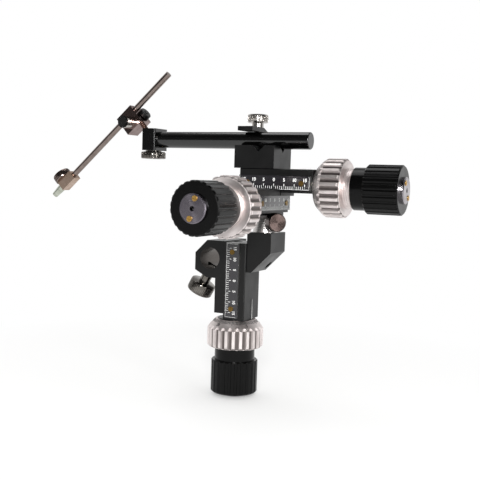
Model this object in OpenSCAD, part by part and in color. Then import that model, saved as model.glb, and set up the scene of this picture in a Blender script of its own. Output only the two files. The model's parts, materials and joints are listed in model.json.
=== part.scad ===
// Three-axis micromanipulator with a coarse and fine drive on each axis,
// a swivel, an arm rod with a ball clamp, and an electrode holder.
// Units are millimetres. The origin is on the axis of the stand clamp's bore,
// level with the Z screw. X runs along the cross drive, Y to the back, Z up.

/* [Drive unit] */
// Length of a unit's slide body without its flange
body_len = 34; // [28:0.5:50]
// Width of a unit across its slide
body_wide = 16; // [12:0.5:24]
// Distance from the screw axis to the load face
load_face = 8; // [6:0.5:12]
// Distance from the screw axis to the guide face
guide_face = 2.75; // [2:0.25:4]
// Thickness of the flange that carries the dial
flange_thick = 2; // [1.5:0.25:4]
// Gap between sliding faces
slide_gap = 0.05; // [0.02:0.01:0.1]
// Running clearance on a radius
run_gap = 0.05; // [0.02:0.01:0.1]

/* [Dovetail] */
// Half width of the dovetail at its mouth
tail_mouth = 3.8; // [3:0.1:5]
// Half width of the dovetail at its floor
tail_wide = 5.4; // [4:0.1:7]
// Height of the dovetail's floor above the screw axis
tail_floor = 3.1; // [2.5:0.1:4]
// Length of a tongue
tongue_len = 9; // [6:0.5:16]

/* [Dial and knobs] */
// Radius of the fine ring and its dial
ring_r = 13.25; // [10:0.25:18]
// Radius of the dial cone at its small end
cone_r = 9.4; // [7:0.2:12]
// Radius of the dial cone at its large end
dial_r = 12.2; // [10:0.1:17]
// Distance from the dial's plane to the full radius of the grip
cone_len = 4.5; // [3:0.25:8]
// Length of the fine ring with its dial
ring_len = 13.25; // [8:0.25:20]
// Number of flutes round the fine ring
ring_flutes = 24; // [12:2:60]
// Radius of the coarse knob
knob_r = 11; // [8:0.25:16]
// Length of the coarse knob's fluted grip
knob_len = 15.5; // [8:0.5:24]
// Number of flutes round the coarse knob
knob_flutes = 24; // [20:1:60]
// Radius of the disc in the knob's end
cap_r = 5.9; // [4.5:0.1:8]
// How far the disc stands out of the knob's end
cap_out = 1.5; // [0.5:0.1:3]
// Distance of the disc's screws from the knob's axis
cap_screw_at = 4.1; // [3:0.1:6]
// Turn of the Y knob's end screws
y_screw_turn = -15; // [-90:1:90]
// Turn of the X knob's end screws
x_screw_turn = 38; // [-90:1:90]
// Radius of the coarse knob's neck
neck_r = 9.5; // [7:0.25:12]
// Length of the coarse knob's neck
neck_len = 6; // [3:0.5:10]
// Radius of the threaded sleeve
sleeve_r = 8.9; // [7:0.1:10]
// Length of the sleeve's threaded part
sleeve_len = 8.2; // [6:0.1:12]
// Radius of the sleeve's inner tube
tube_r = 5.5; // [5:0.1:6.5]
// Radius of the flange's boss
boss_r = 7; // [6.6:0.1:7.6]
// Length of sleeve in sight on the Z unit
show_z = 0.3; // [0.2:0.1:5.2]
// Length of sleeve in sight on the Y unit
show_y = 3.4; // [0.2:0.1:5.2]
// Length of sleeve in sight on the X unit
show_x = 3.7; // [0.2:0.1:5.2]

/* [Lead screw] */
// Radius of the lead screw
screw_r = 2; // [1.5:0.25:2.5]
// Radius of the lead screw's plain shank
shank_r = 3; // [2.5:0.25:3.5]

/* [Scale plates] */
// Length of a scale plate
plate_len = 35; // [25:0.5:50]
// Width of a scale plate
plate_wide = 6.5; // [4:0.25:8]
// Thickness of a scale plate
plate_thick = 0.9; // [0.4:0.1:1]
// Distance between a scale plate's two screws
plate_pitch = 26.5; // [20:0.5:40]

/* [Stand clamp] */
// Diameter of the stand clamp's bore
stand_bore = 10; // [6:0.5:16]
// Length of the stand clamp's bore, front to back
clamp_deep = 22; // [16:0.5:30]
// Depth of the stand clamp's guide, front to back
stand_deep = 14; // [10:0.5:20]
// Diameter of the stand thumbscrew's head
stand_head = 12.5; // [9:0.5:16]

/* [Swivel] */
// Radius of the swivel's spigot
spigot_r = 2.5; // [2:0.1:3.5]
// Radius of the swivel lock screw's head
lock_r = 4.2; // [3:0.1:4.4]

/* [Arm] */
// Radius of the arm rod
rod_r = 4; // [3:0.25:5]
// Height of the arm rod's axis
rod_z = 55.8; // [54:0.1:58]
// Distance from front to back of the arm rod's axis
rod_y = 5.5; // [4:0.1:7]
// Where the arm rod ends on the right
rod_right = 43.8; // [35:0.5:60]
// Right face of the end block, where the arm rod starts
rod_left = -36.3; // [-50:0.1:-25]

/* [Electrode holder] */
// Slope of the holder rod
holder_slope = 41.83; // [0:0.01:90]
// Radius of the holder rod
holder_r = 1.5; // [1:0.1:2]
// Radius of the ball stud's pin
pin_r = 1.25; // [1:0.05:1.5]
// Radius of the ball
ball_r = 2.5; // [2:0.1:3]
// Size of the cross clamp's block
cross_size = 10.4; // [8:0.2:14]

/* [Hidden] */
$fn = 64;
z_unit = [11, 0, -28.25];
y_unit = [26, -31.9, 25.7];
x_unit = [49.5, 3.5, 34.7];
half = body_wide / 2;
top_z = -flange_thick - 0.3;
end_z = top_z - body_len;
boss_len = ring_len - sleeve_len - 0.15;
snap_z = boss_len - 1.4;
snap_thick = 0.8;
cap_thick = 1.2;
knob_bore = 18;
grip_len = neck_len + knob_len;
tail_slope = (tail_wide - tail_mouth) / guide_face;
tail_fit = slide_gap * sqrt(1 + tail_slope * tail_slope);
guide_top = guide_face + slide_gap;
plate_x = 1.6;
plate_top = -1.3;
plate_mid = plate_top - plate_len / 2;
plate_screw_z = [plate_mid + plate_pitch / 2, plate_mid - plate_pitch / 2];
notch_z = 30.4;
ball_at = [-40.4, rod_y, rod_z + 0.1];
jaw_screw = [14, 11.6];
jaw_top = rod_z + rod_r + 2.1;
bracket_x = z_unit[0] + load_face;
stand_x = z_unit[0] - guide_top;
stand_tip = stand_bore / 2 + 0.3;

// ---- Shared shapes -------------------------------------------------------

// A drive unit's own frame: z runs to the knob, x to the load, 0 is the dial
module at_z() {
  translate(z_unit) rotate([180, 0, 0]) children();
}

module at_y() {
  translate(y_unit) rotate([180, -90, -90]) children();
}

module at_x() {
  translate(x_unit) rotate([180, -90, 0]) children();
}

// The end view of the slide body, without its dovetail
module body_section() {
  c = 0.4;
  polygon([
    [-guide_face, -half],
    [load_face - c, -half],
    [load_face, c - half],
    [load_face, half - c],
    [load_face - c, half],
    [-guide_face, half]
  ]);
}

// The dovetail slot cut in the slide body
module tail_slot() {
  w = tail_mouth - 0.25 * tail_slope;
  polygon([
    [-guide_face - 0.25, -w],
    [0, -tail_wide],
    [tail_floor, -tail_wide],
    [tail_floor, tail_wide],
    [0, tail_wide],
    [-guide_face - 0.25, w]
  ]);
}

// A guide's tongue, bored for the lead screw, with its middle at z
module tongue(z) {
  w = tail_mouth - tail_fit - slide_gap * tail_slope;
  v = tail_wide - tail_fit;
  difference() {
    translate([0, 0, z - tongue_len / 2])
      linear_extrude(tongue_len)
        polygon([
          [-guide_top - 0.5, -w],
          [-guide_top, -w],
          [0, -v],
          [tail_floor - slide_gap, -v],
          [tail_floor - slide_gap, v],
          [0, v],
          [-guide_top, w],
          [-guide_top - 0.5, w]
        ]);
    translate([0, 0, z - tongue_len])
      cylinder(h = 2 * tongue_len, r = screw_r + run_gap);
  }
}

// The holes for a scale plate's screws, in the slide body or in the plate
module plate_holes(side, r) {
  for (z = plate_screw_z)
    translate([plate_x, side * (half - 2.1), z])
      rotate([-90 * side, 0, 0])
        cylinder(h = 4, r = r);
}

// The slide body; side says which face carries the scale plate
module housing(side) {
  difference() {
    translate([0, 0, end_z])
      linear_extrude(body_len)
        body_section();
    translate([0, 0, end_z + 1.5])
      linear_extrude(body_len)
        tail_slot();
    translate([0, 0, end_z - 1])
      cylinder(h = 4, r = screw_r + 0.3);
    plate_holes(side, 0.7);
  }
}

// The flange, its thrust shoulder and the boss the fine ring turns on
module flange() {
  difference() {
    union() {
      translate([0, 0, top_z])
        linear_extrude(flange_thick)
          body_section();
      translate([0, 0, -0.3])
        cylinder(h = 0.3, r = boss_r + 1.4);
      translate([0, 0, -0.1])
        cylinder(h = boss_len + 0.1, r = boss_r);
    }
    translate([0, 0, top_z - 1])
      cylinder(h = boss_len - top_z + 2, r = tube_r + run_gap);
    translate([0, 0, snap_z])
      difference() {
        cylinder(h = snap_thick, r = boss_r + 1);
        translate([0, 0, -1])
          cylinder(h = 3, r = boss_r - 0.4);
      }
  }
}

// The snap ring that keeps the fine ring on the boss
module retaining_ring() {
  translate([0, 0, snap_z])
    difference() {
      cylinder(h = snap_thick, r = boss_r + 1);
      translate([0, 0, -1])
        cylinder(h = 3, r = boss_r - 0.4);
      translate([-1.5, 0, -1])
        cube([3, 12, 3]);
    }
}

// The fine ring: a dial cone, a fluted grip and a threaded bore
module fine_ring() {
  difference() {
    intersection() {
      linear_extrude(ring_len)
        flutes(ring_r, ring_flutes, 1.05, 0.1);
      rotate_extrude()
        polygon([
          [0, run_gap],
          [cone_r, run_gap],
          [dial_r, run_gap + dial_r - cone_r],
          [ring_r + 0.05, cone_len],
          [ring_r + 0.05, ring_len - 1],
          [ring_r - 1, ring_len],
          [0, ring_len]
        ]);
    }
    translate([0, 0, -1])
      cylinder(h = snap_z + 2.5, r = boss_r + run_gap);
    translate([0, 0, snap_z - 0.1])
      cylinder(h = ring_len, r = sleeve_r + run_gap);
  }
}

// A round section with shallow round flutes
module flutes(r, n, groove_r, out) {
  difference() {
    circle(r = r);
    for (i = [0 : n - 1])
      rotate(i * 360 / n)
        translate([r + out, 0])
          circle(r = groove_r, $fn = 20);
  }
}

// The threaded sleeve with its inner tube; s is the length in sight
module sleeve(s) {
  top = ring_len + s;
  bottom = top - sleeve_len;
  tail = bottom - 7.4;
  difference() {
    union() {
      translate([0, 0, bottom])
        cylinder(h = sleeve_len, r = sleeve_r);
      translate([0, 0, tail])
        cylinder(h = 8, r = tube_r);
    }
    translate([0, 0, tail - 1])
      cylinder(h = 30, r = shank_r + run_gap);
    translate([0, 0, tail - 1])
      cylinder(h = 3.5, r = 4.45);
  }
}

// The lead screw: thread, thrust collar and plain shank
module lead_screw(s) {
  tail = ring_len + s - sleeve_len - 7.4;
  union() {
    translate([0, 0, end_z + 0.7])
      cylinder(h = tail - end_z - 0.3, r = screw_r);
    translate([0, 0, tail + 0.15])
      cylinder(h = 2.3, r = 4.4);
    translate([0, 0, tail + 2])
      cylinder(h = ring_len + s + run_gap + knob_bore - tail - 2, r = shank_r);
  }
}

// The coarse knob with its neck; turn is how far the end screws are turned
module coarse_knob(s, turn) {
  low = ring_len + s + run_gap;
  grip = ring_len + s + neck_len;
  face = ring_len + s + grip_len;
  difference() {
    union() {
      translate([0, 0, low])
        cylinder(h = neck_len, r = neck_r);
      intersection() {
        translate([0, 0, grip])
          linear_extrude(knob_len)
            flutes(knob_r, knob_flutes, 0.83, 0.35);
        rotate_extrude()
          polygon([
            [0, grip],
            [knob_r - 0.4, grip],
            [knob_r + 0.05, grip + 0.45],
            [knob_r + 0.05, face - 0.65],
            [knob_r - 0.6, face],
            [0, face]
          ]);
      }
    }
    translate([0, 0, low - 1])
      cylinder(h = knob_bore + 1, r = shank_r);
    translate([0, 0, face - cap_thick])
      cylinder(h = 2, r = cap_r);
    cap_screw_shanks(s, turn);
  }
}

module cap_screw_shanks(s, turn) {
  for (a = [0, 180])
    rotate(a + turn)
      translate([cap_screw_at, 0, ring_len + s + grip_len + cap_out - 5])
        cylinder(h = 5, r = 0.8);
}

// The bright disc let into the knob's end
module knob_cap(s, turn) {
  face = ring_len + s + grip_len;
  difference() {
    translate([0, 0, face - cap_thick]) {
      cylinder(h = cap_thick + cap_out - 0.4, r = cap_r);
      translate([0, 0, cap_thick + cap_out - 0.4])
        cylinder(h = 0.4, r1 = cap_r, r2 = cap_r - 0.4);
    }
    translate([0, 0, face - 2])
      cylinder(h = 6, r = 1);
    cap_screw_shanks(s, turn);
  }
}

// The two small screws of the knob's end
module cap_screws(s, turn) {
  z = ring_len + s + grip_len + cap_out;
  difference() {
    union() {
      cap_screw_shanks(s, turn);
      for (a = [0, 180])
        rotate(a + turn)
          translate([cap_screw_at, 0, z])
            cylinder(h = 0.3, r = 1.15);
    }
    for (a = [0, 180])
      rotate(a + turn)
        translate([cap_screw_at - 0.2, -2, z + 0.1])
          cube([0.4, 4, 1]);
  }
}

module scale_plate(side) {
  difference() {
    translate([plate_x - plate_wide / 2, side > 0 ? half : -half - plate_thick, plate_mid - plate_len / 2])
      cube([plate_wide, plate_thick, plate_len]);
    plate_holes(side, 0.7);
  }
}

module scale_screws(side) {
  difference() {
    for (z = plate_screw_z)
      translate([plate_x, side * (half - 2.1), z])
        rotate([-90 * side, 0, 0]) {
          cylinder(h = 2.2 + plate_thick, r = 0.7);
          translate([0, 0, 2.1 + plate_thick])
            cylinder(h = 0.3, r = 1.2);
        }
    for (z = plate_screw_z)
      translate([plate_x - 0.2, side * (half + plate_thick + 1.15) - 1, z - 2])
        cube([0.4, 2, 4]);
  }
}

// A knurled look is left to the finish: a turned head with bevelled edges
module head(r, h, bevel) {
  cylinder(h = bevel, r1 = r - bevel, r2 = r);
  translate([0, 0, bevel])
    cylinder(h = h - 2 * bevel, r = r);
  translate([0, 0, h - bevel])
    cylinder(h = bevel, r1 = r, r2 = r - bevel);
}

// ---- Z unit --------------------------------------------------------------

// Direction of the stand thumbscrew, square to the clamp's lower left face
module at_stand_screw() {
  rotate([0, 180 + 28, 0]) children();
}

module stand_clamp() {
  color([0.08, 0.08, 0.085])
  difference() {
    union() {
      translate([0, clamp_deep - stand_deep / 2, 0])
        rotate([90, 0, 0])
          linear_extrude(clamp_deep)
            polygon([
              [-7.87, 2.3],
              [-1.65, 8.5],
              [stand_x, 8.5],
              [stand_x, -9.2],
              [-1.55, -9.2],
              [-7.87, -5.84]
            ]);
      translate([3, -stand_deep / 2, -25.55])
        cube([stand_x - 3, stand_deep, 20]);
      at_z() tongue(-9.25);
    }
    translate([0, 2 * clamp_deep, 0])
      rotate([90, 0, 0])
        cylinder(h = 4 * clamp_deep, r = stand_bore / 2);
    at_stand_screw()
      translate([0, 0, 2])
        cylinder(h = 12, r = 2.55);
  }
}

module stand_thumbscrew() {
  color([0.75, 0.74, 0.72])
  at_stand_screw() {
    translate([0, 0, stand_tip])
      cylinder(h = 10, r = 2.5);
    translate([0, 0, stand_tip + 8.9])
      head(stand_head / 2, 5.5, 0.6);
  }
}

module z_housing() {
  color([0.08, 0.08, 0.085])
  difference() {
    at_z() housing(1);
    at_bracket_screw()
      cylinder(h = 12, r = 0.9);
  }
}

module z_flange() {
  color([0.10, 0.10, 0.105]) at_z() flange();
}

module z_scale_plate() {
  color([0.05, 0.05, 0.05]) at_z() scale_plate(1);
}

module z_scale_screws() {
  color([0.80, 0.62, 0.28]) at_z() scale_screws(1);
}

module z_lead_screw() {
  color([0.70, 0.70, 0.70]) at_z() lead_screw(show_z);
}

module z_coarse_knob() {
  color([0.07, 0.07, 0.075]) at_z() coarse_knob(show_z, 0);
}

module z_knob_cap() {
  color([0.72, 0.71, 0.70]) at_z() knob_cap(show_z, 0);
}

module z_cap_screws() {
  color([0.80, 0.62, 0.28]) at_z() cap_screws(show_z, 0);
}

module z_sleeve() {
  color([0.72, 0.70, 0.69]) at_z() sleeve(show_z);
}

module z_fine_ring() {
  color([0.74, 0.72, 0.71]) at_z() fine_ring();
}

module z_retaining_ring() {
  color([0.55, 0.55, 0.55]) at_z() retaining_ring();
}

// ---- Bracket and swivel --------------------------------------------------

module bracket() {
  color([0.08, 0.08, 0.085])
  difference() {
    translate([0, 9.5, 0])
      rotate([90, 0, 0])
        linear_extrude(16.5)
          polygon([
            [bracket_x, -5.3],
            [bracket_x + 2.5, -5.3],
            [bracket_x + 12, 4.2],
            [bracket_x + 12, 13.3],
            [bracket_x, 13.3]
          ]);
    translate([25, 0, 7])
      cylinder(h = 10, r = spigot_r);
    at_bracket_screw() {
      cylinder(h = 12, r = 0.9);
      translate([0, 0, 5.2])
        cylinder(h = 12, r = 1.7);
    }
  }
}

// The bracket's screw runs to the left into the Z body
module at_bracket_screw() {
  translate([16.4, 6.4, -2.6]) rotate([0, 90, 0]) children();
}

module bracket_screw() {
  color([0.3, 0.3, 0.3])
  at_bracket_screw()
    difference() {
      union() {
        cylinder(h = 5.4, r = 0.9);
        translate([0, 0, 5.2])
          cylinder(h = 1.2, r = 1.65);
      }
      translate([-0.25, -2, 6])
        cube([0.5, 4, 2]);
    }
}

module swivel_spigot() {
  color([0.72, 0.72, 0.72])
  translate([25, 0, 7])
    cylinder(h = 12.2, r = spigot_r);
}

// Direction of the swivel lock screw
module at_swivel_screw() {
  translate([25, 0, 18.55])
    rotate([0, 0, -43.8])
      rotate([0, 90, 0])
        children();
}

module swivel_socket() {
  color([0.70, 0.69, 0.68])
  difference() {
    translate([25, 0, 13.35])
      rotate_extrude()
        polygon([
          [spigot_r + run_gap, 0],
          [5.8, 0],
          [5.6, 1.6],
          [5, 4],
          [4.55, 6],
          [4.3, 8.05],
          [spigot_r + run_gap, 8.05]
        ]);
    at_swivel_screw()
      cylinder(h = 10, r = 1.5 + run_gap);
  }
}

module swivel_lock_screw() {
  color([0.62, 0.50, 0.44])
  at_swivel_screw() {
    translate([0, 0, 2.6])
      cylinder(h = 7, r = 1.5);
    translate([0, 0, 8.8])
      head(lock_r, 5.4, 0.4);
  }
}

// ---- Y unit --------------------------------------------------------------

module y_guide() {
  color([0.08, 0.08, 0.085])
  union() {
    translate([0, 0, 21.4])
      linear_extrude(1.5)
        polygon([[20, -10], [27, -10], [32, -3.2], [32, 4], [20, 4]]);
    at_y() tongue(-26.9);
  }
}

module y_housing() {
  color([0.08, 0.08, 0.085])
  difference() {
    at_y() housing(-1);
    translate([10, -5.6, notch_z])
      cube([30, 20, 10]);
  }
}

module y_flange() {
  color([0.10, 0.10, 0.105]) at_y() flange();
}

module y_scale_plate() {
  color([0.05, 0.05, 0.05]) at_y() scale_plate(-1);
}

module y_scale_screws() {
  color([0.80, 0.62, 0.28]) at_y() scale_screws(-1);
}

module y_lead_screw() {
  color([0.70, 0.70, 0.70]) at_y() lead_screw(show_y);
}

module y_coarse_knob() {
  color([0.07, 0.07, 0.075]) at_y() coarse_knob(show_y, y_screw_turn);
}

module y_knob_cap() {
  color([0.72, 0.71, 0.70]) at_y() knob_cap(show_y, y_screw_turn);
}

module y_cap_screws() {
  color([0.80, 0.62, 0.28]) at_y() cap_screws(show_y, y_screw_turn);
}

module y_sleeve() {
  color([0.72, 0.70, 0.69]) at_y() sleeve(show_y);
}

module y_fine_ring() {
  color([0.74, 0.72, 0.71]) at_y() fine_ring();
}

module y_retaining_ring() {
  color([0.55, 0.55, 0.55]) at_y() retaining_ring();
}

// ---- X unit --------------------------------------------------------------

module x_guide() {
  color([0.08, 0.08, 0.085])
  union() {
    translate([18, -4.3, notch_z])
      cube([16, 15.5, 1.5]);
    at_x() tongue(-23.5);
  }
}

module x_housing() {
  color([0.08, 0.08, 0.085]) at_x() housing(1);
}

module x_flange() {
  color([0.10, 0.10, 0.105]) at_x() flange();
}

module x_scale_plate() {
  color([0.05, 0.05, 0.05]) at_x() scale_plate(1);
}

module x_scale_screws() {
  color([0.80, 0.62, 0.28]) at_x() scale_screws(1);
}

module x_lead_screw() {
  color([0.70, 0.70, 0.70]) at_x() lead_screw(show_x);
}

module x_coarse_knob() {
  color([0.07, 0.07, 0.075]) at_x() coarse_knob(show_x, x_screw_turn);
}

module x_knob_cap() {
  color([0.72, 0.71, 0.70]) at_x() knob_cap(show_x, x_screw_turn);
}

module x_cap_screws() {
  color([0.80, 0.62, 0.28]) at_x() cap_screws(show_x, x_screw_turn);
}

module x_sleeve() {
  color([0.72, 0.70, 0.69]) at_x() sleeve(show_x);
}

module x_fine_ring() {
  color([0.74, 0.72, 0.71]) at_x() fine_ring();
}

module x_retaining_ring() {
  color([0.55, 0.55, 0.55]) at_x() retaining_ring();
}

// ---- V-block, jaw and arm rod ---------------------------------------------

// The groove's lowest point, so that the rod rests on both sides
groove_z = rod_z - (rod_r + slide_gap) * sqrt(2);
v_top = x_unit[2] + load_face + 10.5;

module v_block() {
  color([0.08, 0.08, 0.085])
  difference() {
    translate([10, -4.5, x_unit[2] + load_face])
      cube([20, 20, 10.5]);
    translate([0, rod_y, groove_z])
      rotate([45, 0, 0])
        translate([-20, 0, 0])
          cube([80, 20, 20]);
    translate([22, 0, groove_z])
      rotate([0, -45, 0])
        translate([0, -30, 0])
          cube([20, 80, 20]);
    translate([jaw_screw[0], jaw_screw[1], 44.7])
      cylinder(h = 20, r = 1.55);
  }
}

module clamp_jaw() {
  color([0.08, 0.08, 0.085])
  difference() {
    translate([11.3, 0, 0])
      rotate([90, 0, 90])
        linear_extrude(7.5)
          polygon([
            [-4.5, jaw_top - 2],
            [-4.5, jaw_top],
            [8.5, jaw_top],
            [15.5, jaw_top - 2.7],
            [15.5, v_top + 0.1],
            [13.7, v_top + 0.1],
            [13.7, jaw_top - 2]
          ]);
    translate([jaw_screw[0], jaw_screw[1], 50])
      cylinder(h = 20, r = 1.55);
    translate([jaw_screw[0], jaw_screw[1], jaw_top - 0.75])
      cylinder(h = 3, r = 2.85);
  }
}

module jaw_thumbscrew() {
  color([0.75, 0.74, 0.72])
  translate([jaw_screw[0], jaw_screw[1], 0]) {
    translate([0, 0, jaw_top - 15.2])
      cylinder(h = 15, r = 1.5);
    translate([0, 0, jaw_top - 0.7])
      cylinder(h = 3.2, r = 2.8);
    translate([0, 0, jaw_top + 2.4])
      head(5, 4.2, 0.8);
  }
}

module arm_rod() {
  color([0.04, 0.04, 0.04])
  translate([rod_left - 1.3, rod_y, rod_z])
    rotate([0, 90, 0]) {
      cylinder(h = 2, r = 2.2);
      translate([0, 0, 1.35])
        cylinder(h = rod_right - rod_left - 0.35, r = rod_r);
      translate([0, 0, rod_right - rod_left + 0.99])
        cylinder(h = 0.31, r1 = rod_r, r2 = rod_r - 0.3);
    }
}

// ---- End block, ball and lock disc ------------------------------------------

module end_block() {
  color([0.05, 0.05, 0.05])
  difference() {
    translate([-43.5, -0.25, 50.4])
      linear_extrude(10.8)
        difference() {
          square([7.2, 11.5]);
          translate([7.2 - 1.2, 0])
            difference() {
              translate([0, -1])
                square([2.2, 2.2]);
              translate([0, 1.2])
                circle(r = 1.2);
            }
        }
    translate([rod_left - 1.4, rod_y, rod_z])
      rotate([0, 90, 0])
        cylinder(h = 3, r = 2.2 + run_gap);
    translate(ball_at)
      sphere(r = ball_r + run_gap);
    translate(ball_at)
      translate([0, 0, -20])
        cylinder(h = 20, r = 2.8);
    ball_mouth();
  }
}

// The opening that lets the ball's pin tilt
module ball_mouth() {
  translate(ball_at)
    translate([0, 1.6, 0])
      rotate([90, 0, 0])
        linear_extrude(3.2)
          polygon([[0.2, 0], [1.4, 12], [-12, 12], [-12, 2], [-1.6, 0]]);
}

module ball_seat() {
  color([0.70, 0.70, 0.70])
  translate(ball_at)
    difference() {
      translate([0, 0, -4.9])
        cylinder(h = 4.2, r = 2.75);
      sphere(r = ball_r + run_gap);
    }
}

module ball_lock_disc() {
  color([0.75, 0.74, 0.72])
  translate([ball_at[0], ball_at[1], 0])
    difference() {
      union() {
        translate([0, 0, 46.3])
          head(6.15, 3.5, 0.5);
        translate([0, 0, 49.7])
          cylinder(h = 0.65, r = 4);
        translate([0, 0, 49.7])
          cylinder(h = 1.25, r = 2.75);
      }
    }
}

// The holder's frame: x along the rod, z along the ball stud's pin
module at_holder() {
  translate(ball_at) rotate([0, -holder_slope, 0]) children();
}

module ball_stud() {
  color([0.75, 0.75, 0.75])
  at_holder() {
    sphere(r = ball_r);
    cylinder(h = 17.4, r = pin_r);
  }
}

module cross_block() {
  color([0.09, 0.09, 0.09])
  at_holder()
    difference() {
      translate([-7.2, -6.1, 9.15])
        cube([cross_size, 8.9, 10.3]);
      translate([0, 0, 5])
        cylinder(h = 12.5, r = pin_r + run_gap);
      translate([-20, -3.5, 16.98])
        rotate([0, 90, 0])
          cylinder(h = 40, r = holder_r + run_gap);
      translate([-2.5, -1.95, 13])
        rotate([90, 0, 0])
          cylinder(h = 10, r = 2.5);
      translate([0, 0, 13.3])
        rotate([0, 90, 0])
          cylinder(h = 10, r = 1.05);
    }
}

module rod_lock_screw() {
  color([0.78, 0.77, 0.76])
  at_holder()
    translate([-2.5, 0, 13])
      rotate([90, 0, 0]) {
        translate([0, 0, 2])
          cylinder(h = 4.2, r = 2.45);
        translate([0, 0, 6.15])
          cylinder(h = 5.85, r = 3);
        translate([0, 0, 11.9])
          cylinder(h = 1, r = 2.4);
      }
}

module pin_lock_knob() {
  color([0.08, 0.08, 0.08])
  at_holder()
    translate([0, 0, 13.3])
      rotate([0, 90, 0]) {
        translate([0, 0, 1.3])
          cylinder(h = 4.5, r = 1);
        translate([0, 0, 3.3])
          head(3.05, 2.2, 0.3);
      }
}

module holder_rod() {
  color([0.78, 0.77, 0.76])
  at_holder()
    translate([-51.4, -3.5, 16.98])
      rotate([0, 90, 0])
        cylinder(h = 80.06, r = holder_r);
}

// ---- Tip clamp ----------------------------------------------------------------

// The tip's frame: on the rod's axis, x towards the tip
module at_tip() {
  at_holder()
    translate([-49.04, -3.5, 16.98])
      rotate([0, 0, 180])
        children();
}

module tip_block() {
  color([0.72, 0.62, 0.56])
  at_tip()
    difference() {
      translate([-2.2, -2.7, -2.7])
        cube([9.6, 5.4, 4.9]);
      translate([-5, 0, 0])
        rotate([0, 90, 0])
          cylinder(h = 7.4, r = holder_r);
      translate([4.2, 0, -2])
        cylinder(h = 10, r = 1.05);
      tip_bore();
    }
}

// The socket that takes the electrode
module tip_bore() {
  translate([2, 0, 0])
    rotate([0, 90, 0])
      cylinder(h = 30, r = 0.6);
}

module tip_nose() {
  color([0.80, 0.82, 0.76])
  at_tip()
    difference() {
      translate([7.4, 0, 0])
        rotate([0, 90, 0])
          cylinder(h = 7.2, r1 = 2.1, r2 = 1.5);
      tip_bore();
    }
}

module tip_screw() {
  color([0.75, 0.74, 0.72])
  at_tip()
    translate([4.2, 0, 0]) {
      translate([0, 0, 0.65])
        cylinder(h = 2.2, r = 1);
      translate([0, 0, 2.25])
        head(4.75, 3.6, 0.5);
    }
}

// ---- Output ---------------------------------------------------------------------

stand_clamp();
z_housing();
z_flange();
z_scale_plate();
z_scale_screws();
z_lead_screw();
z_coarse_knob();
z_knob_cap();
z_cap_screws();
z_sleeve();
z_fine_ring();
z_retaining_ring();
stand_thumbscrew();
bracket();
bracket_screw();
swivel_spigot();
swivel_socket();
swivel_lock_screw();
y_guide();
y_housing();
y_flange();
y_scale_plate();
y_scale_screws();
y_lead_screw();
y_coarse_knob();
y_knob_cap();
y_cap_screws();
y_sleeve();
y_fine_ring();
y_retaining_ring();
x_guide();
x_housing();
x_flange();
x_scale_plate();
x_scale_screws();
x_lead_screw();
x_coarse_knob();
x_knob_cap();
x_cap_screws();
x_sleeve();
x_fine_ring();
x_retaining_ring();
v_block();
clamp_jaw();
jaw_thumbscrew();
arm_rod();
end_block();
ball_seat();
ball_stud();
ball_lock_disc();
cross_block();
rod_lock_screw();
pin_lock_knob();
holder_rod();
tip_block();
tip_nose();
tip_screw();
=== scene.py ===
"""The looks of a three-axis micromanipulator, dressed over its packed construction.

Everything is in metres in the construction's own frame: X along the cross drive, Y to the back,
Z up, and the origin on the stand clamp's bore. Sizes are written in millimetres
and turned to metres by MM.
"""

import json
import math

import bmesh
import bpy
from mathutils import Matrix, Vector


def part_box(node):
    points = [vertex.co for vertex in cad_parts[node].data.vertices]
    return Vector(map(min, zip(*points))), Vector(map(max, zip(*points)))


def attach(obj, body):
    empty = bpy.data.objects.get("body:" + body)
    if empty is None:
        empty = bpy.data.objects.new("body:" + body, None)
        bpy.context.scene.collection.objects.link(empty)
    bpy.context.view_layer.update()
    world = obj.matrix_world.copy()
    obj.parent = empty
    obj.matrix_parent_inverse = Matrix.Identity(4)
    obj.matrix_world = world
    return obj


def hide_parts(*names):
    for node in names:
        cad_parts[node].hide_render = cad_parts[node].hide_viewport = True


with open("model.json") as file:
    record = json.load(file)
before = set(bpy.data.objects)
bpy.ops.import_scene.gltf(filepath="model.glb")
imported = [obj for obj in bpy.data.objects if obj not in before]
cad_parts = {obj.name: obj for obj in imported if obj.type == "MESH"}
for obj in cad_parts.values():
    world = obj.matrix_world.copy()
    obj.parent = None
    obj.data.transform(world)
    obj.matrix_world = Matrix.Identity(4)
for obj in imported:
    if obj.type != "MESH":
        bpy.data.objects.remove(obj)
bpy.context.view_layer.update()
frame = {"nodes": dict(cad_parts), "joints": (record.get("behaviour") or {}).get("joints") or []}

MM = 0.001

# ---------------------------------------------------------------------------
# Sizes of what is modelled here
# ---------------------------------------------------------------------------

CAMERA_PLACE = Vector((175.56, -336.8, 37.43)) * MM
CAMERA_TURN = math.radians(25.9)
CAMERA_DIP = math.radians(4.36)
CAMERA_ROLL = math.radians(1.76)
CAMERA_LENS = 59.77

FLOOR_HEIGHT = -65.15 * MM
FLOOR_SIZE = 6.0
FLOOR_SHADOW_REACH = 0.22

# The backdrop stands beyond the object as the camera looks; the rest of the room is dimmer
BACKDROP_WAY = (-math.sin(CAMERA_TURN), math.cos(CAMERA_TURN), 0)
ROOM_LEVEL = 0.09
CEILING_LEVEL = 0.4
MATT_LEVEL = 0.6

# Each drive unit: where its knob points, and where its load sits
UNITS = {
    "z": {"out": Vector((0, 0, -1)), "load": Vector((1, 0, 0)), "plate": Vector((0, -1, 0))},
    "y": {"out": Vector((0, -1, 0)), "load": Vector((0, 0, 1)), "plate": Vector((1, 0, 0))},
    "x": {"out": Vector((1, 0, 0)), "load": Vector((0, 0, 1)), "plate": Vector((0, -1, 0))},
}

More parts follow.
